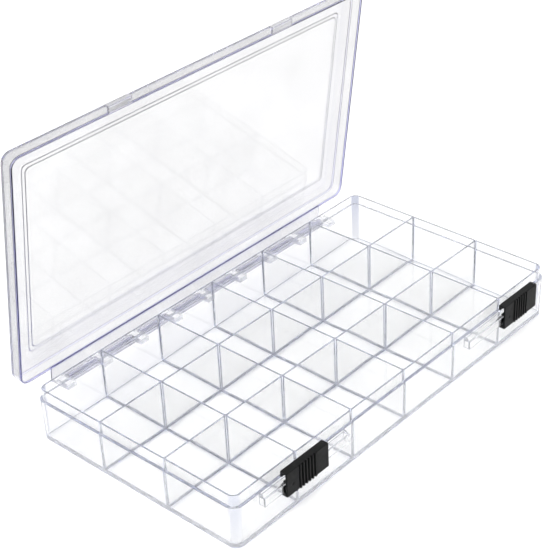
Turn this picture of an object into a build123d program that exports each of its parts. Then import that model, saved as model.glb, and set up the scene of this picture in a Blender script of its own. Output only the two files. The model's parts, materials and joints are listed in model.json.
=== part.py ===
from build123d import *
import os

# ---------------------------------------------------------------- overall size
LENGTH = 275.0            # outside, along X
WIDTH = 148.0             # outside, along Y (front is -Y, hinge side is +Y)
CORNER_R = 6.0            # upright corners, outside

# ---------------------------------------------------------------- base tray
FLOOR_T = 1.8
FOOT_R = 1.2              # rounding along the bottom edge
LEDGE_Z = 26.5            # ledge the lid skirt stands on
LIP_Z = 33.3              # top of the thin lip and of every divider
LEDGE_W = 1.55            # lid skirt plus its running gap
LIP_T = 0.95
WALL_T = LEDGE_W + LIP_T

# ---------------------------------------------------------------- dividers
ROWS = 3                  # compartments across the width
COLUMNS = 6               # compartments along the length
DIVIDER_TOP = 1.0
DIVIDER_FOOT = 1.8        # moulding draft makes the foot thicker

# ---------------------------------------------------------------- lid, drawn shut
LID_GAP = 0.15            # skirt to ledge
SKIRT_T = 1.0
SKIRT_Z = LEDGE_Z + LID_GAP
PANEL_Z = LIP_Z + 0.4     # underside of the panel
PANEL_T = 1.5
PANEL_TOP = PANEL_Z + PANEL_T
PANEL_EDGE_R = 1.2
STEP_INSET = 15.0         # shallow field sunk into the outer face of the panel
STEP_DEPTH = 0.5
STEP_R = 3.0
OPEN_DEG = 82.0           # lid angle, standing open on its stop

# ---------------------------------------------------------------- hinge
HINGE_BACK = 6.6          # axis behind the back wall
HINGE_Z = 21.0
ROD_R = 1.25
CLIP_BORE_R = 1.55
CLIP_R = 2.6
CLIP_MOUTH = 1.9          # the clip snaps over the rod through this slot
HINGE_SPAN = 231.0
LUG_COUNT = 9
LUG_W = 6.0
LUG_GAP = 0.4
LUG_R = 2.3
LUG_TOP = 1.8             # lug arm above the axis
LUG_FOOT = -1.2
HEEL_TOP = 0.2            # heel behind the axis stops the open lid
HEEL_FOOT = -2.0
HEEL_TOP_REACH = 5.6
HEEL_FOOT_REACH = 5.9
LEAF_T = 1.2
LEAF_REACH = 3.2          # leaf beyond the axis
ARM_IN = 1.4              # clip arm, measured outward from the axis
ARM_OUT = 2.6

# ---------------------------------------------------------------- latch rails and catches
RAIL_IN = 54.5            # free run of a latch, measured from the middle plane
RAIL_OUT = 119.0
RAIL_END_T = 1.0
RAIL_REACH = 4.0
FLANGE_T = 1.2
RAIL_TOP = 25.2
RAIL_PLATE_T = 1.2
RAIL_FOOT = 19.6
CATCH_IN = 55.0
CATCH_OUT = 72.0
CATCH_WEB_T = 1.2
CATCH_TOP = 30.0

# ---------------------------------------------------------------- sliding latches
LATCH_W = 32.5
LATCH_T = 1.2
LATCH_FACE_IN = 4.3       # back of the face plate, outward from the front wall
LATCH_FACE_OUT = LATCH_FACE_IN + LATCH_T
LATCH_HOOK_IN = 0.8
LATCH_HOOK_OUT = 2.2
LATCH_FOOT = 16.6
LATCH_TOP = 31.8
LATCH_TOP_T = 1.3
LATCH_FOOT_T = 2.6
TOP_HOOK_END = 28.4
FOOT_HOOK_END = 22.5
GUIDE_FOOT = 25.5         # inner rib that hangs the latch on its rail
GUIDE_TOP = 26.3
GUIDE_IN = 2.6
LATCH_EDGE_R = 0.45
RIB_COUNT = 7
RIB_PITCH = 2.05
RIB_W = 1.0
RIB_PROUD = 0.5
LATCH_LEFT_X = -88.75     # where the left latch stands with the lid open
LATCH_RIGHT_X = 102.5

FRONT_Y = -WIDTH / 2
BACK_Y = WIDTH / 2
HINGE_Y = BACK_Y + HINGE_BACK
INNER_LENGTH = LENGTH - 2 * WALL_T
INNER_WIDTH = WIDTH - 2 * WALL_T
END_ZONE = CORNER_R       # the end walls own the rounded corners


def run_box(side):
    """Centre and size in plan of the front, back, left or right run of a ring."""
    long_run = LENGTH - 2 * END_ZONE
    boxes = {
        "front": (0, -WIDTH / 4, long_run, WIDTH / 2),
        "back": (0, WIDTH / 4, long_run, WIDTH / 2),
        "left": (-LENGTH / 2 + END_ZONE / 2, 0, END_ZONE, WIDTH),
        "right": (LENGTH / 2 - END_ZONE / 2, 0, END_ZONE, WIDTH),
    }
    return boxes[side]


def ring_run(side, levels, margin_in):
    """One run of a rounded ring; levels lists (low, high, outer inset)."""
    foot = levels[0][0]
    top = levels[-1][1]
    cx, cy, dx, dy = run_box(side)
    with BuildPart() as run:
        for low, high, margin_out in levels:
            with BuildSketch(Plane.XY.offset(low)):
                RectangleRounded(LENGTH - 2 * margin_out, WIDTH - 2 * margin_out,
                                 CORNER_R - margin_out)
                RectangleRounded(LENGTH - 2 * margin_in, WIDTH - 2 * margin_in,
                                 CORNER_R - margin_in, mode=Mode.SUBTRACT)
            extrude(amount=high - low)
        with BuildSketch(Plane.XY.offset(foot)):
            with Locations((cx, cy)):
                Rectangle(dx, dy)
        extrude(amount=top - foot, mode=Mode.INTERSECT)
    return run.part


def hand_over(part, label, closed_lid=False):
    """Name a solid, turn lid pieces to the open pose, and write its file."""
    if closed_lid:
        axis = Axis((0, HINGE_Y, HINGE_Z), (1, 0, 0))
        part = part.rotate(axis, -OPEN_DEG)
    part.label = label
    export_step(part, f"parts/{label}.step")


os.makedirs("parts", exist_ok=True)

# ================================================================= base tray
with BuildPart() as base_floor:
    with BuildSketch(Plane.XY):
        RectangleRounded(LENGTH, WIDTH, CORNER_R)
    extrude(amount=FLOOR_T)
    fillet(base_floor.faces().sort_by(Axis.Z)[0].edges(), FOOT_R)
hand_over(base_floor.part, "base_floor")

for side in ("front", "back", "left", "right"):
    wall_levels = ((FLOOR_T, LEDGE_Z, 0), (LEDGE_Z, LIP_Z, LEDGE_W))
    hand_over(ring_run(side, wall_levels, WALL_T), f"base_wall_{side}")

# ================================================================= dividers
ROW_PITCH = INNER_WIDTH / ROWS
COLUMN_PITCH = INNER_LENGTH / COLUMNS
long_dividers = []
for name, row in (("front", 1), ("back", 2)):
    row_y = -INNER_WIDTH / 2 + row * ROW_PITCH
    with BuildPart() as long_divider:
        with BuildSketch(Plane.YZ.offset(-INNER_LENGTH / 2)):
            with BuildLine():
                Polyline(
                    (row_y - DIVIDER_FOOT / 2, FLOOR_T),
                    (row_y + DIVIDER_FOOT / 2, FLOOR_T),
                    (row_y + DIVIDER_TOP / 2, LIP_Z),
                    (row_y - DIVIDER_TOP / 2, LIP_Z),
                    close=True,
                )
            make_face()
        extrude(amount=INNER_LENGTH)
    long_dividers.append(long_divider.part)
    hand_over(long_divider.part, f"long_divider_{name}")

for column in range(1, COLUMNS):
    column_x = -INNER_LENGTH / 2 + column * COLUMN_PITCH
    for row, name in enumerate(("front", "middle", "back")):
        start_y = -INNER_WIDTH / 2 + row * ROW_PITCH
        with BuildPart() as cross_divider:
            with BuildSketch(Plane.XZ.offset(-start_y)):
                with BuildLine():
                    Polyline(
                        (column_x - DIVIDER_FOOT / 2, FLOOR_T),
                        (column_x + DIVIDER_FOOT / 2, FLOOR_T),
                        (column_x + DIVIDER_TOP / 2, LIP_Z),
                        (column_x - DIVIDER_TOP / 2, LIP_Z),
                        close=True,
                    )
                make_face()
            extrude(amount=-ROW_PITCH)
            add(long_dividers, mode=Mode.SUBTRACT)
        hand_over(cross_divider.part, f"cross_divider_{column}_{name}")

# ================================================================= latch rails
# Each rail is a plate with a down-turned flange; end plates stop the latch.
RAIL_MID = (RAIL_IN + RAIL_OUT) / 2
RAIL_LENGTH = RAIL_OUT - RAIL_IN + 2 * RAIL_END_T
for side, sign in (("left", -1), ("right", 1)):
    with BuildPart() as latch_rail:
        with BuildSketch(Plane.YZ.offset(sign * RAIL_MID - RAIL_LENGTH / 2)):
            with BuildLine():
                Polyline(
                    (FRONT_Y, RAIL_TOP),
                    (FRONT_Y - RAIL_REACH, RAIL_TOP),
                    (FRONT_Y - RAIL_REACH, RAIL_FOOT),
                    (FRONT_Y - RAIL_REACH + FLANGE_T, RAIL_FOOT),
                    (FRONT_Y - RAIL_REACH + FLANGE_T, RAIL_TOP - RAIL_PLATE_T),
                    (FRONT_Y, RAIL_TOP - RAIL_PLATE_T),
                    close=True,
                )
            make_face()
        extrude(amount=RAIL_LENGTH)
        for end in (-RAIL_LENGTH / 2, RAIL_LENGTH / 2 - RAIL_END_T):
            with BuildSketch(Plane.YZ.offset(sign * RAIL_MID + end)):
                with BuildLine():
                    Polyline(
                        (FRONT_Y, RAIL_TOP - RAIL_PLATE_T),
                        (FRONT_Y - RAIL_REACH + FLANGE_T, RAIL_TOP - RAIL_PLATE_T),
                        (FRONT_Y - RAIL_REACH + FLANGE_T, RAIL_FOOT),
                        (FRONT_Y, RAIL_FOOT),
                        close=True,
                    )
                make_face()
            extrude(amount=RAIL_END_T)
    hand_over(latch_rail.part, f"latch_rail_{side}")

# ================================================================= hinge rod with its lugs
LUG_PITCH = (HINGE_SPAN - LUG_W) / (LUG_COUNT - 1)
with BuildPart() as hinge_rod:
    with BuildSketch(Plane.YZ.offset(-HINGE_SPAN / 2)):
        with Locations((HINGE_Y, HINGE_Z)):
            Circle(ROD_R)
    extrude(amount=HINGE_SPAN)
    for lug in range(LUG_COUNT):
        with BuildSketch(Plane.YZ.offset(-HINGE_SPAN / 2 + lug * LUG_PITCH)):
            with Locations((HINGE_Y, HINGE_Z)):
                Circle(LUG_R)
            with BuildLine():
                Polyline(
                    (BACK_Y, HINGE_Z + LUG_FOOT),
                    (HINGE_Y, HINGE_Z + LUG_FOOT),
                    (HINGE_Y, HINGE_Z + HEEL_FOOT),
                    (HINGE_Y + HEEL_FOOT_REACH, HINGE_Z + HEEL_FOOT),
                    (HINGE_Y + HEEL_TOP_REACH, HINGE_Z + HEEL_TOP),
                    (HINGE_Y, HINGE_Z + HEEL_TOP),
                    (HINGE_Y, HINGE_Z + LUG_TOP),
                    (BACK_Y, HINGE_Z + LUG_TOP),
                    close=True,
                )
            make_face()
        extrude(amount=LUG_W)
hand_over(hinge_rod.part, "hinge_rod")

# ================================================================= lid
with BuildPart() as lid_panel:
    with BuildSketch(Plane.XY.offset(PANEL_Z)):
        RectangleRounded(LENGTH, WIDTH, CORNER_R)
    extrude(amount=PANEL_T)
    fillet(lid_panel.faces().sort_by(Axis.Z)[-1].edges(), PANEL_EDGE_R)
    with BuildSketch(Plane.XY.offset(PANEL_TOP)):
        RectangleRounded(LENGTH - 2 * STEP_INSET, WIDTH - 2 * STEP_INSET, STEP_R)
    extrude(amount=-STEP_DEPTH, mode=Mode.SUBTRACT)
hand_over(lid_panel.part, "lid_panel", closed_lid=True)

for side in ("front", "back", "left", "right"):
    skirt_levels = ((SKIRT_Z, PANEL_Z, 0),)
    hand_over(ring_run(side, skirt_levels, SKIRT_T), f"lid_skirt_{side}", closed_lid=True)

# The leaf reaches back from the skirt and carries the clips that snap on the rod.
CLIP_W = LUG_PITCH - LUG_W - 2 * LUG_GAP
with BuildPart() as hinge_leaf:
    with BuildSketch(Plane.YZ.offset(-HINGE_SPAN / 2)):
        with BuildLine():
            Polyline(
                (BACK_Y, SKIRT_Z),
                (HINGE_Y + LEAF_REACH, SKIRT_Z),
                (HINGE_Y + LEAF_REACH, SKIRT_Z + LEAF_T),
                (BACK_Y, SKIRT_Z + LEAF_T),
                close=True,
            )
        make_face()
    extrude(amount=HINGE_SPAN)
    for clip in range(LUG_COUNT - 1):
        clip_x = -HINGE_SPAN / 2 + clip * LUG_PITCH + LUG_W + LUG_GAP
        with BuildSketch(Plane.YZ.offset(clip_x)):
            with Locations((HINGE_Y, HINGE_Z)):
                Circle(CLIP_R)
            with BuildLine():
                Polyline(
                    (HINGE_Y + ARM_IN, HINGE_Z),
                    (HINGE_Y + ARM_OUT, HINGE_Z),
                    (HINGE_Y + ARM_OUT, SKIRT_Z),
                    (HINGE_Y + ARM_IN, SKIRT_Z),
                    close=True,
                )
            make_face()
            with Locations((HINGE_Y, HINGE_Z)):
                Circle(CLIP_BORE_R, mode=Mode.SUBTRACT)
            with Locations((HINGE_Y, HINGE_Z - CLIP_R / 2)):
                Rectangle(CLIP_MOUTH, CLIP_R, mode=Mode.SUBTRACT)
        extrude(amount=CLIP_W)
hand_over(hinge_leaf.part, "hinge_leaf", closed_lid=True)

for side, start_x in (("left", -CATCH_OUT), ("right", CATCH_IN)):
    with BuildPart() as lid_catch:
        with BuildSketch(Plane.YZ.offset(start_x)):
            with BuildLine():
                Polyline(
                    (FRONT_Y, SKIRT_Z),
                    (FRONT_Y - RAIL_REACH, SKIRT_Z),
                    (FRONT_Y - RAIL_REACH, CATCH_TOP),
                    (FRONT_Y - RAIL_REACH + FLANGE_T, CATCH_TOP),
                    (FRONT_Y - RAIL_REACH + FLANGE_T, SKIRT_Z + CATCH_WEB_T),
                    (FRONT_Y, SKIRT_Z + CATCH_WEB_T),
                    close=True,
                )
            make_face()
        extrude(amount=CATCH_OUT - CATCH_IN)
    hand_over(lid_catch.part, f"lid_catch_{side}", closed_lid=True)

# ================================================================= sliding latches
for side, centre_x in (("left", LATCH_LEFT_X), ("right", LATCH_RIGHT_X)):
    with BuildPart() as latch:
        with BuildSketch(Plane.YZ.offset(centre_x - LATCH_W / 2)):
            with BuildLine():
                Polyline(
                    (FRONT_Y - LATCH_FACE_OUT, LATCH_FOOT),
                    (FRONT_Y - LATCH_HOOK_IN, LATCH_FOOT),
                    (FRONT_Y - LATCH_HOOK_IN, FOOT_HOOK_END),
                    (FRONT_Y - LATCH_HOOK_OUT, FOOT_HOOK_END),
                    (FRONT_Y - LATCH_HOOK_OUT, LATCH_FOOT + LATCH_FOOT_T),
                    (FRONT_Y - LATCH_FACE_IN, LATCH_FOOT + LATCH_FOOT_T),
                    (FRONT_Y - LATCH_FACE_IN, GUIDE_FOOT),
                    (FRONT_Y - GUIDE_IN, GUIDE_FOOT),
                    (FRONT_Y - GUIDE_IN, GUIDE_TOP),
                    (FRONT_Y - LATCH_FACE_IN, GUIDE_TOP),
                    (FRONT_Y - LATCH_FACE_IN, LATCH_TOP - LATCH_TOP_T),
                    (FRONT_Y - LATCH_HOOK_OUT, LATCH_TOP - LATCH_TOP_T),
                    (FRONT_Y - LATCH_HOOK_OUT, TOP_HOOK_END),
                    (FRONT_Y - LATCH_HOOK_IN, TOP_HOOK_END),
                    (FRONT_Y - LATCH_HOOK_IN, LATCH_TOP),
                    (FRONT_Y - LATCH_FACE_OUT, LATCH_TOP),
                    close=True,
                )
            make_face()
        extrude(amount=LATCH_W)
        long_edges = latch.edges().filter_by(Axis.X)
        fillet(long_edges.group_by(Axis.Y)[0], LATCH_EDGE_R)
        with BuildSketch(Plane.XZ.offset(-(FRONT_Y - LATCH_FACE_OUT))):
            with Locations((centre_x, (LATCH_TOP + LATCH_FOOT) / 2)):
                with GridLocations(RIB_PITCH, 0, RIB_COUNT, 1):
                    Rectangle(RIB_W, LATCH_TOP - LATCH_FOOT - 2 * LATCH_EDGE_R)
        extrude(amount=RIB_PROUD)
    hand_over(latch.part, f"latch_{side}")
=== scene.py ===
import json
import math

import bmesh
import bpy
from mathutils import Matrix, Vector


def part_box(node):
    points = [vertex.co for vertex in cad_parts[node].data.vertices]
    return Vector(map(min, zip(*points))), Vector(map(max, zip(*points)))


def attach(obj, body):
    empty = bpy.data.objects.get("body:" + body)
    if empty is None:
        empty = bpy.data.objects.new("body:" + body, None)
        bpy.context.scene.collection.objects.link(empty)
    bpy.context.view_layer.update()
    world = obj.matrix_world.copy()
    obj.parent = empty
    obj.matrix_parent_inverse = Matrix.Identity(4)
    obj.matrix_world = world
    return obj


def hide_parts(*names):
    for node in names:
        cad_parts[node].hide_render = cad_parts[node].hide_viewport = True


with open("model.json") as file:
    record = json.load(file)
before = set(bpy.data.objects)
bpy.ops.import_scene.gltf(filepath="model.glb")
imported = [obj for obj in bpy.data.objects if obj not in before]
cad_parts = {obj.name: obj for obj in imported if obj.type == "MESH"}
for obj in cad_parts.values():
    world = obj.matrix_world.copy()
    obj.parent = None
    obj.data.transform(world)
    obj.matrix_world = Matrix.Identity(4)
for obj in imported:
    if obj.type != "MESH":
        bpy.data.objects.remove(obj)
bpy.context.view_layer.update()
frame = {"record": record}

MM = 0.001

# ------------------------------------------------------------------ driving sizes, in metres
CORNER_R = 6 * MM
MIN_TRAY_R = 0.5 * MM
MIN_LID_R = 0.8 * MM
MIN_POCKET_R = 0.15 * MM
SOFT_R = 0.25 * MM            # rounding of thin moulded edges
ROOT = 0.6 * MM               # how far an added part reaches into the wall it grows from
CORNER_STEPS = 8
ARC_STEPS = 4

WALL_T = 2.5 * MM
LEDGE_Z = 26.5 * MM
LEDGE_W = 1.55 * MM
DRAFT = 0.3 * MM              # the tray narrows this much towards its foot
FOOT_R = 1.2 * MM
FLOOR_FILLET = 0.9 * MM
JOINT_R = 0.9 * MM            # upright inner corners where dividers meet
DIVIDER_HALF = 0.5 * MM
DIVIDER_FOOT = 0.4 * MM       # each side of a divider grows this much by its foot

RAIL_T = 1.2 * MM             # shelf and flange of a latch rail
RAIL_END_T = 1 * MM
RAIL_END_GAP = 0.02 * MM      # keeps an end plate's side off the rail's own end face
RAIL_END_INSET = 0.4 * MM
GUSSET_TOP = 26.3 * MM
GUSSET_W = 1.4 * MM

HINGE_BACK = 6.6 * MM         # rod axis behind the back wall
HINGE_Z = 21 * MM
ROD_R = 1.25 * MM
ROD_SIDES = 20
LUG_COUNT = 9
LUG_W = 6 * MM
LUG_GAP = 0.4 * MM
LUG_R = 2.25 * MM
CLIP_OUTER_R = 2.6 * MM
CLIP_INNER_R = 1.55 * MM
CLIP_MOUTH = 0.95 * MM        # half of the gap that the rod snaps through
CLIP_ARM_IN = 1.4 * MM
LEAF_T = 1.2 * MM
LEAF_REACH = 3.2 * MM         # past the rod axis
OPEN_DEG = 82

PANEL_T = 1.5 * MM
PANEL_GAP = 0.4 * MM          # from the tray's lip to the shut panel
PANEL_EDGE_R = 1.2 * MM
SKIRT_T = 1.0 * MM
SKIRT_GAP = 0.15 * MM
SKIRT_Z = LEDGE_Z + SKIRT_GAP
PAINTED_SHADE_RIM_HEIGHT = 1.1 * MM           # the skirt's rim carries painted blue shade over this height
FIELD_INSET = 15 * MM
FIELD_R = 3 * MM
FIELD_DEPTH = 0.5 * MM
FIELD_STEPS = (-0.3 * MM, 0.1 * MM, 1.9 * MM, 2.3 * MM)     # outward from the field's edge
INSIDE_FILLET = 0.6 * MM
CATCH_STARTS = (-72 * MM, 55 * MM)
CATCH_W = 17 * MM
CATCH_REACH = 4 * MM
CATCH_TOP = 30 * MM
CATCH_T = 1.2 * MM

FACE_BACK = 4.3 * MM          # back of a latch's face plate, outward from the front wall
HOOK_IN = 0.8 * MM
HOOK_OUT = 2.2 * MM
FOOT_HOOK_TOP = 22.5 * MM
TOP_HOOK_FOOT = 28.4 * MM
GUIDE_FOOT, GUIDE_TOP = 25.5 * MM, 26.3 * MM
GUIDE_IN = 2.6 * MM
LATCH_FOOT_T = 2.6 * MM
LATCH_TOP_T = 1.3 * MM
LATCH_EDGE_R = 0.35 * MM
GRIP_HALF = 7.1 * MM
GRIP_DEPTH = 0.5 * MM
RIB_COUNT = 6
RIB_PITCH = 2.35 * MM
RIB_W = 1.15 * MM
RIB_RISE = 0.5 * MM           # ribs stand this far proud of the face
RIB_ROOT = 0.3 * MM
RIB_EDGE_R = 0.22 * MM
DIMPLE_R = 1.1 * MM
DIMPLE_FLAT = 0.3             # depth of the dimple's ball over its radius
DIMPLE_IN = 4.5 * MM

FACE, EDGE, PAINTED_SHADE_RIM = 0, 1, 2     # material slots of a clear moulding; the edge and rim slots carry painted blue shade in their base colours

# ------------------------------------------------------------------ driving values of the looks
CLEAR_IOR = 1.5
CLEAR_SHARE = 0.92            # the rest of the light goes straight through
TRAY_CAST, TRAY_DENSITY = (0.5, 0.56, 0.78), 11
LID_CAST, LID_DENSITY = (0.5, 0.5, 0.8), 32
FINE_HAZE = 0.03              # roughness range of clean, glossy plastic
LID_HAZE = 0.07               # the big panel is a little worn
PANEL_WAVE = 0.00002
SMALL_WAVE = 0.00001
GRAIN_DEPTH = 0.00003
BLACK_SPECULAR = 0.1
PAPER = (0.9, 0.9, 0.9)
FLOOR_HALF = 3.0
FLOOR_Z = -0.0002             # just under the tray, so that the two never share a plane
ROOM_LIGHT = 1.25
LIGHT_PATHS = 64              # the mouldings put many surfaces in a ray's way
CAMERA_AT = (-0.5303, -0.4739, 0.5129)
CAMERA_LOOK = (0.6199, 0.5773, -0.5314)
CAMERA_ROLL = -2.64
CAMERA_LENS = 98.5


# ------------------------------------------------------------------ mesh helpers
def plan_loop(x0, x1, y0, y1, radii):
    """Rounded rectangle, anticlockwise; radii start at the low corner."""
    corners = ((x0, y0, 1, 1, 180), (x1, y0, -1, 1, 270),
               (x1, y1, -1, -1, 0), (x0, y1, 1, -1, 90))
    points = []
    for (cx, cy, sx, sy, start), r in zip(corners, radii):
        for step in range(CORNER_STEPS + 1):
            a = math.radians(start + 90 * step / CORNER_STEPS)
            points.append((cx + sx * r + r * math.cos(a), cy + sy * r + r * math.sin(a)))
    return points


def add_ring(bm, points, z):
    return [bm.verts.new((x, y, z)) for x, y in points]


def bridge(bm, low, high, straight, corner=None):
    """Quads between two rings; corner faces may take another material slot."""
    n = len(low)
    for i in range(n):
        j = (i + 1) % n
        face = bm.faces.new((low[i], low[j], high[j], high[i]))
        is_corner = i % (CORNER_STEPS + 1) != CORNER_STEPS
        face.material_index = corner if is_corner and corner is not None else straight


def cap(bm, ring, slot):
    bm.faces.new(ring).material_index = slot


def rounded(start, end, hollow, slot):
    """The points of an arc as profile entries in one material slot."""
    return [(inset, z, slot) for inset, z in arc(start, end, hollow)]


def arc(start, end, hollow):
    """Quarter-round points from start to end, each (inset, z); hollow swaps the bulging side."""
    out = []
    for step in range(1, ARC_STEPS + 1):
        a = math.radians(90 * step / ARC_STEPS)
        s, c = math.sin(a), 1 - math.cos(a)
        u, v = (c, s) if hollow else (s, c)
        out.append((start[0] + (end[0] - start[0]) * u,
                    start[1] + (end[1] - start[1]) * v))
    return out


def new_object(name, bm):
    bmesh.ops.recalc_face_normals(bm, faces=bm.faces)
    mesh = bpy.data.meshes.new(name)
    bm.to_mesh(mesh)
    bm.free()
    obj = bpy.data.objects.new(name, mesh)
    bpy.context.scene.collection.objects.link(obj)
    return obj


def extruded(name, outline, x0, x1, bevel=SOFT_R, segments=2, edge_slot=EDGE):
    """A bar along X with a (y, z) outline and softened edges."""
    bm = bmesh.new()
    ends = [[bm.verts.new((x, y, z)) for y, z in outline] for x in (x0, x1)]
    n = len(outline)
    for i in range(n):
        j = (i + 1) % n
        bm.faces.new((ends[0][i], ends[0][j], ends[1][j], ends[1][i]))
    bm.faces.new(ends[0])
    bm.faces.new(ends[1])
    bmesh.ops.recalc_face_normals(bm, faces=bm.faces)
    if bevel:
        bmesh.ops.bevel(bm, geom=bm.edges[:], offset=bevel, segments=segments, profile=0.5,
                        affect="EDGES", clamp_overlap=True, material=edge_slot)
    return new_object(name, bm)


def merge(base, extras, materials, operation="UNION"):
    """Fuses closed parts into one skin with nothing left inside, or cuts them out of it.

    All parts get the same materials first, so that every face keeps its slot.
    """
    for part in [base] + extras:
        if not part.data.materials:
            for material in materials:
                part.data.materials.append(material)
    group = bpy.data.collections.new(base.name + "_extras")
    bpy.context.scene.collection.children.link(group)
    for extra in extras:
        group.objects.link(extra)
        bpy.context.scene.collection.objects.unlink(extra)
    cut = base.modifiers.new("merge", "BOOLEAN")
    cut.operation = operation
    cut.operand_type = "COLLECTION"
    cut.collection = group
    cut.solver = "EXACT"
    bpy.context.view_layer.update()
    graph = bpy.context.evaluated_depsgraph_get()
    fused = bpy.data.meshes.new_from_object(base.evaluated_get(graph))
    base.modifiers.clear()
    base.data = fused
    for extra in extras:
        bpy.data.objects.remove(extra)
    bpy.data.collections.remove(group)


def finish_surface(obj, sharp_deg=50):
    mesh = obj.data
    mesh.shade_smooth()
    mesh.set_sharp_from_angle(angle=math.radians(sharp_deg))
    weighted = obj.modifiers.new("flat_faces_stay_flat", "WEIGHTED_NORMAL")
    weighted.keep_sharp = True
    weighted.weight = 80


# ------------------------------------------------------------------ tray
floor_lo, floor_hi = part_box("base_floor")
lip_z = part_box("base_wall_front")[1].z
floor_z = floor_hi.z
half_x = floor_hi.x
half_y = floor_hi.y
hinge_y = half_y + HINGE_BACK
panel_z = lip_z + PANEL_GAP
panel_top = panel_z + PANEL_T


def tray_outline(inset):
    r = max(CORNER_R - inset, MIN_TRAY_R)
    return plan_loop(-half_x + inset, half_x - inset, -half_y + inset, half_y - inset, [r] * 4)


def divider_lines():
    """Middle planes of the dividers: along X and along Y."""
    rows = []
    for name in ("front", "back"):
        lo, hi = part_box("long_divider_" + name)
        rows.append((lo.y + hi.y) / 2)
    columns = []
    for number in range(1, 6):
        lo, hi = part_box(f"cross_divider_{number}_front")
        columns.append((lo.x + hi.x) / 2)
    return columns, rows


def tray_profile():
    """The outside of the tray from its underside up to the lip, as (inset, z, slot)."""
    profile = [(DRAFT + FOOT_R, 0, FACE)]
    profile += rounded((DRAFT + FOOT_R, 0), (DRAFT, FOOT_R), False, EDGE)
    profile.append((0, LEDGE_Z - SOFT_R, FACE))
    profile += rounded((0, LEDGE_Z - SOFT_R), (SOFT_R, LEDGE_Z), True, EDGE)
    profile.append((LEDGE_W - SOFT_R, LEDGE_Z, EDGE))
    profile += rounded((LEDGE_W - SOFT_R, LEDGE_Z), (LEDGE_W, LEDGE_Z + SOFT_R), False, EDGE)
    profile.append((LEDGE_W, lip_z - SOFT_R, FACE))
    profile += rounded((LEDGE_W, lip_z - SOFT_R), (LEDGE_W + SOFT_R, lip_z), True, EDGE)
    return profile


def tray_body():
    bm = bmesh.new()
    profile = tray_profile()
    rings = [add_ring(bm, tray_outline(i), z) for i, z, _ in profile]
    cap(bm, rings[0], FACE)
    for (low, high), (_, _, slot) in zip(zip(rings, rings[1:]), profile[1:]):
        bridge(bm, low, high, slot)
    columns, rows = divider_lines()
    xs = [-half_x + WALL_T - DIVIDER_HALF] + columns + [half_x - WALL_T + DIVIDER_HALF]
    ys = [-half_y + WALL_T - DIVIDER_HALF] + rows + [half_y - WALL_T + DIVIDER_HALF]
    for i in range(len(xs) - 1):
        for j in range(len(ys) - 1):
            pocket(bm, (xs[i], xs[i + 1]), (ys[j], ys[j + 1]),
                   outer=(i == 0, i == len(xs) - 2, j == 0, j == len(ys) - 2))
    rim = [e for e in bm.edges if e.is_boundary]
    filled = bmesh.ops.triangle_fill(bm, edges=rim, use_beauty=True, use_dissolve=False)
    for item in filled["geom"]:
        if isinstance(item, bmesh.types.BMFace):
            item.material_index = EDGE
    return new_object("tray_moulding", bm)


def pocket(bm, span_x, span_y, outer):
    """One compartment, from its softened rim down to the filleted floor."""
    left, right, front, back = outer
    at_box_corner = (left and front, right and front, right and back, left and back)
    radii = [CORNER_R - WALL_T if own else JOINT_R for own in at_box_corner]
    x0, x1 = span_x[0] + DIVIDER_HALF, span_x[1] - DIVIDER_HALF
    y0, y1 = span_y[0] + DIVIDER_HALF, span_y[1] - DIVIDER_HALF
    rim_r = SOFT_R * 0.8
    profile = [(-rim_r, lip_z, EDGE)]
    profile += rounded((-rim_r, lip_z), (0, lip_z - rim_r), False, EDGE)
    foot = DIVIDER_FOOT
    profile.append((foot, floor_z + FLOOR_FILLET, FACE))
    profile += rounded((foot, floor_z + FLOOR_FILLET), (foot + FLOOR_FILLET, floor_z), True, EDGE)
    rings = []
    for inset, z, _ in profile:
        loop = plan_loop(x0 + inset, x1 - inset, y0 + inset, y1 - inset,
                         [max(r - inset, MIN_POCKET_R) for r in radii])
        rings.append(add_ring(bm, loop, z))
    for (low, high), (_, _, slot) in zip(zip(rings, rings[1:]), profile[1:]):
        bridge(bm, low, high, slot, EDGE)
    cap(bm, rings[-1], FACE)


def rail_parts():
    """Each latch rail: a shelf with a down-turned flange and a gusset plate at both ends."""
    parts = []
    for side in ("left", "right"):
        lo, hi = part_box("latch_rail_" + side)
        wall = hi.y + ROOT
        shelf_foot = hi.z - RAIL_T
        flange_in = lo.y + RAIL_T
        outline = ((wall, hi.z), (lo.y, hi.z), (lo.y, lo.z), (flange_in, lo.z),
                   (flange_in, shelf_foot), (wall, shelf_foot))
        parts.append(extruded("rail", outline, lo.x, hi.x))
        for x in (lo.x, hi.x - RAIL_END_T):
            parts.append(rail_end(lo, hi, wall, x))
    return parts


def rail_end(lo, hi, wall, x):
    end = ((wall, GUSSET_TOP), (hi.y - GUSSET_W, GUSSET_TOP),
           (lo.y + RAIL_END_INSET, hi.z - RAIL_END_INSET),
           (lo.y + RAIL_END_INSET, lo.z + 0.1 * MM),
           (hi.y - RAIL_END_INSET, lo.z), (wall, lo.z))
    return extruded("rail_end", end, x + RAIL_END_GAP, x + RAIL_END_T - RAIL_END_GAP, SOFT_R * 0.8)


def lug_outline(back):
    """A lug from the back wall to behind the rod; the figures are offsets from the rod axis."""
    outline = [(half_y - ROOT, HINGE_Z - 1.2 * MM), (hinge_y - 1.6 * MM, HINGE_Z - 1.7 * MM),
               (hinge_y, HINGE_Z - 2.0 * MM), (back, HINGE_Z - 2.0 * MM),
               (back - 0.3 * MM, HINGE_Z + 0.2 * MM), (hinge_y + 2.2 * MM, HINGE_Z + 0.2 * MM)]
    for step in range(1, 7):
        a = math.radians(15 * step)
        outline.append((hinge_y + LUG_R * math.cos(a), HINGE_Z + LUG_R * math.sin(a)))
    outline += [(half_y - ROOT, HINGE_Z + 1.9 * MM)]
    return outline


def lug_pitch(lo, hi):
    return (hi.x - lo.x - LUG_W) / (LUG_COUNT - 1)


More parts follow.
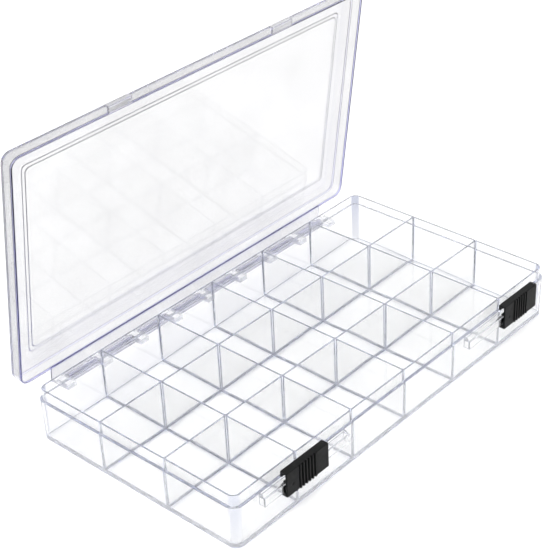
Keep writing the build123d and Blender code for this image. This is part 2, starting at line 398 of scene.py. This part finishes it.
def hinge_parts():
    """The rod and the lugs that carry it behind the back wall."""
    lo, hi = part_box("hinge_rod")
    parts = [round_bar("rod", hinge_y, HINGE_Z, ROD_R, lo.x + 0.1 * MM, hi.x - 0.1 * MM)]
    for number in range(LUG_COUNT):
        x = lo.x + number * lug_pitch(lo, hi)
        parts.append(extruded("lug", lug_outline(hi.y), x, x + LUG_W, SOFT_R * 0.7))
    return parts


def round_bar(name, y, z, radius, x0, x1):
    outline = []
    for side in range(ROD_SIDES):
        a = 2 * math.pi * side / ROD_SIDES
        outline.append((y + radius * math.cos(a), z + radius * math.sin(a)))
    return extruded(name, outline, x0, x1, 0)


# ------------------------------------------------------------------ lid, drawn shut, then turned open
def lid_outline(inset):
    r = CORNER_R - inset if inset < CORNER_R else FIELD_R
    r = max(r, MIN_LID_R)
    return plan_loop(-half_x + inset, half_x - inset, -half_y + inset, half_y - inset, [r] * 4)


def lid_profile():
    """From the sunk field out, down the skirt and back inside, as (inset, z, slot)."""
    field_z = panel_top - FIELD_DEPTH
    half_step = (panel_top + field_z) / 2
    insets = [FIELD_INSET - step for step in FIELD_STEPS]
    heights = (field_z, half_step, half_step, panel_top)
    profile = list(zip(insets, heights, (FACE, EDGE, FACE, EDGE)))
    profile.append((PANEL_EDGE_R, panel_top, FACE))
    profile += rounded((PANEL_EDGE_R, panel_top), (0, panel_top - PANEL_EDGE_R), False, EDGE)
    # the rim band takes the slot with painted blue shade
    profile += [(0, SKIRT_Z + PAINTED_SHADE_RIM_HEIGHT, FACE), (0, SKIRT_Z + SOFT_R, PAINTED_SHADE_RIM)]
    profile += rounded((0, SKIRT_Z + SOFT_R), (SOFT_R, SKIRT_Z), True, PAINTED_SHADE_RIM)
    profile.append((SKIRT_T - SOFT_R, SKIRT_Z, PAINTED_SHADE_RIM))
    profile += rounded((SKIRT_T - SOFT_R, SKIRT_Z), (SKIRT_T, SKIRT_Z + SOFT_R), False, PAINTED_SHADE_RIM)
    profile += [(SKIRT_T, SKIRT_Z + PAINTED_SHADE_RIM_HEIGHT, PAINTED_SHADE_RIM), (SKIRT_T, panel_z - INSIDE_FILLET, FACE)]
    profile += rounded((SKIRT_T, panel_z - INSIDE_FILLET),
                       (SKIRT_T + INSIDE_FILLET, panel_z), True, EDGE)
    return profile


def lid_body():
    bm = bmesh.new()
    profile = lid_profile()
    rings = [add_ring(bm, lid_outline(i), z) for i, z, _ in profile]
    cap(bm, rings[0], FACE)
    for (low, high), (_, _, slot) in zip(zip(rings, rings[1:]), profile[1:]):
        bridge(bm, low, high, slot)
    cap(bm, rings[-1], FACE)
    return new_object("lid_moulding", bm)


def catch_parts():
    """The two hooks on the lid's front skirt that the latches grip."""
    y = -half_y
    tip = y - CATCH_REACH
    outline = ((y + ROOT, SKIRT_Z), (tip, SKIRT_Z), (tip, CATCH_TOP), (tip + CATCH_T, CATCH_TOP),
               (tip + CATCH_T, SKIRT_Z + CATCH_T), (y + ROOT, SKIRT_Z + CATCH_T))
    return [extruded("catch", outline, start, start + CATCH_W) for start in CATCH_STARTS]


def leaf_parts():
    """The leaf behind the lid, with one clip between each pair of lugs."""
    lo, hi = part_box("hinge_rod")
    back = hinge_y + LEAF_REACH
    leaf = ((half_y - ROOT, SKIRT_Z), (back, SKIRT_Z), (back, SKIRT_Z + LEAF_T),
            (half_y - ROOT, SKIRT_Z + LEAF_T))
    parts = [extruded("leaf", leaf, lo.x, hi.x)]
    pitch = lug_pitch(lo, hi)
    for number in range(LUG_COUNT - 1):
        x0 = lo.x + number * pitch + LUG_W + LUG_GAP
        x1 = x0 + pitch - LUG_W - 2 * LUG_GAP
        parts.append(extruded("clip", clip_outline(), x0, x1, SOFT_R * 0.6))
    return parts


def clip_outline():
    """A C that snaps over the rod, hung from the leaf by one arm."""
    outer_r, inner_r = CLIP_OUTER_R, CLIP_INNER_R
    mouth = math.degrees(math.asin(CLIP_MOUTH / inner_r))
    outer_mouth = math.degrees(math.asin(CLIP_MOUTH / outer_r))
    arm_top = SKIRT_Z + 0.5 * MM
    outline = []
    for step in range(25):
        a = math.radians(-90 + mouth + (360 - 2 * mouth) * step / 24)
        outline.append((hinge_y + inner_r * math.cos(a), HINGE_Z + inner_r * math.sin(a)))
    outline.reverse()
    start = -90 + outer_mouth
    for step in range(9):
        a = math.radians(start + (-5 - start) * step / 8)
        outline.append((hinge_y + outer_r * math.cos(a), HINGE_Z + outer_r * math.sin(a)))
    outline.append((hinge_y + outer_r, arm_top))
    outline.append((hinge_y + CLIP_ARM_IN, arm_top))
    first = math.degrees(math.acos(CLIP_ARM_IN / outer_r))
    for step in range(17):
        a = math.radians(first + (270 - outer_mouth - first) * step / 16)
        outline.append((hinge_y + outer_r * math.cos(a), HINGE_Z + outer_r * math.sin(a)))
    return outline


def turn_open(obj):
    pivot = Vector((0, hinge_y, HINGE_Z))
    turn = Matrix.Rotation(math.radians(-OPEN_DEG), 4, "X")
    obj.data.transform(Matrix.Translation(pivot) @ turn @ Matrix.Translation(-pivot))


# ------------------------------------------------------------------ latches
def latch_outline(lo, hi, face):
    """A C in section: face plate, foot and top with hooks, and a guide rib above the rail."""
    wall = -half_y
    back, out, near = wall - FACE_BACK, wall - HOOK_OUT, wall - HOOK_IN
    guide = wall - GUIDE_IN
    floor, ceiling = lo.z + LATCH_FOOT_T, hi.z - LATCH_TOP_T
    return ((face, lo.z), (near, lo.z), (near, FOOT_HOOK_TOP), (out, FOOT_HOOK_TOP),
            (out, floor), (back, floor), (back, GUIDE_FOOT), (guide, GUIDE_FOOT),
            (guide, GUIDE_TOP), (back, GUIDE_TOP), (back, ceiling), (out, ceiling),
            (out, TOP_HOOK_FOOT), (near, TOP_HOOK_FOOT), (near, hi.z), (face, hi.z))


def grip_ribs(lo, hi, groove_y):
    ribs = []
    first = (lo.x + hi.x) / 2 - (RIB_COUNT - 1) / 2 * RIB_PITCH
    root = groove_y + RIB_ROOT
    outline = ((root, lo.z), (lo.y, lo.z), (lo.y, hi.z), (root, hi.z))
    for number in range(RIB_COUNT):
        x = first + number * RIB_PITCH
        ribs.append(extruded("rib", outline, x - RIB_W / 2, x + RIB_W / 2, RIB_EDGE_R, 2, FACE))
    return ribs


def latch(side):
    """A slide with hooks top and bottom, a ribbed finger grip and a shallow dimple."""
    lo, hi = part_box("latch_" + side)
    face = lo.y + RIB_RISE
    body = extruded("latch_slide_" + side, latch_outline(lo, hi, face), lo.x, hi.x,
                    LATCH_EDGE_R, 3, FACE)
    middle = (lo.x + hi.x) / 2
    groove_y = face + GRIP_DEPTH
    band = ((lo.y - MM, lo.z - MM), (groove_y, lo.z - MM),
            (groove_y, hi.z + MM), (lo.y - MM, hi.z + MM))
    grip = extruded("grip_band", band, middle - GRIP_HALF, middle + GRIP_HALF, 0)
    hollow = dimple(lo.x + DIMPLE_IN, face, (lo.z + hi.z) / 2 - MM)
    merge(body, [grip, hollow], [BLACK], "DIFFERENCE")
    merge(body, grip_ribs(lo, hi, groove_y), [BLACK])
    return body


def dimple(x, y, z):
    """A flat ball that cuts a small hollow into the face."""
    bm = bmesh.new()
    bmesh.ops.create_icosphere(bm, subdivisions=3, radius=DIMPLE_R)
    for vert in bm.verts:
        vert.co = Vector((x + vert.co.x, y + vert.co.y * DIMPLE_FLAT, z + vert.co.z))
    return new_object("dimple", bm)


# ------------------------------------------------------------------ materials
def node_material(name):
    material = bpy.data.materials.new(name)
    material.use_nodes = True
    tree = material.node_tree
    tree.nodes.clear()
    return material, tree


def noise(tree, scale, detail, seed_shift):
    """Noise in object space, so it stays with the moulding in every view."""
    place = tree.nodes.new("ShaderNodeTexCoord")
    shift = tree.nodes.new("ShaderNodeMapping")
    shift.inputs["Location"].default_value = (seed_shift, seed_shift, seed_shift)
    tree.links.new(place.outputs["Object"], shift.inputs[0])
    texture = tree.nodes.new("ShaderNodeTexNoise")
    texture.inputs["Scale"].default_value = scale
    texture.inputs["Detail"].default_value = detail
    tree.links.new(shift.outputs[0], texture.inputs["Vector"])
    return texture.outputs["Fac"]


def between(tree, fac, low, high):
    """Maps the noise on to a range of values."""
    span = tree.nodes.new("ShaderNodeMapRange")
    span.inputs["From Min"].default_value = 0.3
    span.inputs["From Max"].default_value = 0.7
    span.inputs["To Min"].default_value = low
    span.inputs["To Max"].default_value = high
    tree.links.new(fac, span.inputs["Value"])
    return span.outputs[0]


def tinted(tree, body, fac, pale, deep):
    """Base colour that drifts between two tones."""
    tone = tree.nodes.new("ShaderNodeMix")
    tone.data_type = "RGBA"
    tone.inputs[6].default_value = (*pale, 1)
    tone.inputs[7].default_value = (*deep, 1)
    tree.links.new(fac, tone.inputs[0])
    tree.links.new(tone.outputs[2], body.inputs["Base Color"])


def bumped(tree, body, height, strength, distance):
    bump = tree.nodes.new("ShaderNodeBump")
    bump.inputs["Strength"].default_value = strength
    bump.inputs["Distance"].default_value = distance
    tree.links.new(height, bump.inputs["Height"])
    tree.links.new(bump.outputs[0], body.inputs["Normal"])


def clear_plastic(name, pale, deep, wave, cast_tone, density, haze=FINE_HAZE):
    """Clear polystyrene: faint waves, fine wear in the gloss, a blue-grey cast where thick."""
    material, tree = node_material(name)
    link = tree.links.new
    out = tree.nodes.new("ShaderNodeOutputMaterial")
    body = tree.nodes.new("ShaderNodeBsdfPrincipled")
    body.inputs["Transmission Weight"].default_value = 1
    body.inputs["IOR"].default_value = CLEAR_IOR
    body.inputs["Alpha"].default_value = CLEAR_SHARE
    tinted(tree, body, between(tree, noise(tree, 22, 2, 3.1), 0, 1), pale, deep)
    wear = between(tree, noise(tree, 900, 4, 7.7), haze - FINE_HAZE, haze)
    link(wear, body.inputs["Roughness"])
    bumped(tree, body, noise(tree, 70, 1, 1.3), 1, wave)
    cast = tree.nodes.new("ShaderNodeVolumeAbsorption")
    cast.inputs["Color"].default_value = (*cast_tone, 1)
    cast.inputs["Density"].default_value = density
    link(body.outputs[0], out.inputs["Surface"])
    link(cast.outputs[0], out.inputs["Volume"])
    return material


def tray_plastic():
    cast = (TRAY_CAST, TRAY_DENSITY)
    return [
        clear_plastic("clear_tray_face", (0.995, 0.995, 0.99), (0.98, 0.98, 0.975),
                      PANEL_WAVE, *cast),
        # painted faint blue shade on the tray's rounded edges, rims and fillets
        clear_plastic("clear_tray_edge_painted_blue_shade", (0.985, 0.99, 1.0), (0.975, 0.98, 0.995),
                      SMALL_WAVE, *cast)]


def lid_plastic():
    """The panel, its softened edges, and the rim of the skirt, all with painted shade in their base
    colours: grey on the panel, blue-grey on the edges, deeper blue on the rim.
    """
    cast = (LID_CAST, LID_DENSITY)
    return [
        # painted grey shade: the panel's base colour is drawn greyer than the tray's
        clear_plastic("clear_lid_face_painted_grey_shade", (0.83, 0.83, 0.825), (0.77, 0.77, 0.765),
                      SMALL_WAVE, *cast, LID_HAZE),
        # painted blue-grey shade on the lid's rounded edges
        clear_plastic("clear_lid_edge_painted_blue_grey_shade", (0.9, 0.9, 0.96), (0.87, 0.87, 0.94),
                      SMALL_WAVE, *cast),
        # painted blue shade on the skirt's rim
        clear_plastic("clear_lid_rim_painted_blue_shade", (0.66, 0.66, 0.95), (0.62, 0.62, 0.93),
                      SMALL_WAVE, *cast)]


def black_plastic():
    """Satin black moulding with a fine spark-eroded grain."""
    material, tree = node_material("black_latch_plastic")
    out = tree.nodes.new("ShaderNodeOutputMaterial")
    body = tree.nodes.new("ShaderNodeBsdfPrincipled")
    body.inputs["Specular IOR Level"].default_value = BLACK_SPECULAR
    tinted(tree, body, between(tree, noise(tree, 180, 3, 2.2), 0, 1),
           (0.003, 0.0032, 0.0034), (0.006, 0.0063, 0.0067))
    satin = between(tree, noise(tree, 500, 2, 5.4), 0.36, 0.5)
    tree.links.new(satin, body.inputs["Roughness"])
    bumped(tree, body, noise(tree, 4000, 2, 0.4), 0.5, GRAIN_DEPTH)
    tree.links.new(body.outputs[0], out.inputs["Surface"])
    return material


# ------------------------------------------------------------------ assembly
tray = tray_body()
merge(tray, rail_parts() + hinge_parts(), tray_plastic())
finish_surface(tray)
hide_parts(*frame["record"]["behaviour"]["bodies"]["tray"])
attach(tray, "tray")

lid = lid_body()
merge(lid, catch_parts() + leaf_parts(), lid_plastic())
turn_open(lid)
finish_surface(lid)
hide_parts(*frame["record"]["behaviour"]["bodies"]["lid"])
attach(lid, "lid")

BLACK = black_plastic()
for side in ("left", "right"):
    slide = latch(side)
    finish_surface(slide)
    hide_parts("latch_" + side)
    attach(slide, "latch_slide_" + side)


# ------------------------------------------------------------------ stage, light and camera
def white_floor():
    bm = bmesh.new()
    size = FLOOR_HALF
    for x, y in ((-size, -size), (size, -size), (size, size), (-size, size)):
        bm.verts.new((x, y, FLOOR_Z))
    bm.faces.new(bm.verts[:])
    floor = new_object("floor", bm)
    material, tree = node_material("white_paper")
    out = tree.nodes.new("ShaderNodeOutputMaterial")
    body = tree.nodes.new("ShaderNodeBsdfPrincipled")
    body.inputs["Base Color"].default_value = (*PAPER, 1)
    body.inputs["Roughness"].default_value = 0.8
    tree.links.new(body.outputs[0], out.inputs[0])
    floor.data.materials.append(material)


def soft_light(name, place, target, size, power):
    data = bpy.data.lights.new(name, "AREA")
    data.shape = "SQUARE"
    data.size = size
    data.energy = power
    lamp = bpy.data.objects.new(name, data)
    bpy.context.scene.collection.objects.link(lamp)
    lamp.location = place
    aim = Vector(target) - Vector(place)
    lamp.rotation_euler = aim.to_track_quat("-Z", "Y").to_euler()


def studio():
    white_floor()
    world = bpy.data.worlds.new("studio")
    world.use_nodes = True
    background = world.node_tree.nodes["Background"]
    background.inputs[0].default_value = (1, 1, 1, 1)
    background.inputs[1].default_value = ROOM_LIGHT
    bpy.context.scene.world = world
    soft_light("key", (-0.9, -0.2, 1.2), (0, 0, 0), 1.0, 8)
    scene = bpy.context.scene
    scene.view_settings.view_transform = "Standard"
    scene.cycles.max_bounces = LIGHT_PATHS
    scene.cycles.transmission_bounces = LIGHT_PATHS
    scene.cycles.glossy_bounces = LIGHT_PATHS
    scene.cycles.diffuse_bounces = 8
    scene.cycles.transparent_max_bounces = LIGHT_PATHS
    scene.cycles.blur_glossy = 0


def photo_camera():
    data = bpy.data.cameras.new("camera")
    data.sensor_width = 36
    data.lens = CAMERA_LENS
    camera = bpy.data.objects.new("camera", data)
    bpy.context.scene.collection.objects.link(camera)
    look = Vector(CAMERA_LOOK).normalized()
    level = look.cross(Vector((0, 0, 1))).normalized()
    top = level.cross(look)
    roll = math.radians(CAMERA_ROLL)
    right = level * math.cos(roll) + top * math.sin(roll)
    up = top * math.cos(roll) - level * math.sin(roll)
    turn = Matrix((right, up, -look)).transposed().to_4x4()
    camera.matrix_world = Matrix.Translation(CAMERA_AT) @ turn
    data.clip_start = 0.01
    bpy.context.scene.camera = camera


studio()
photo_camera()
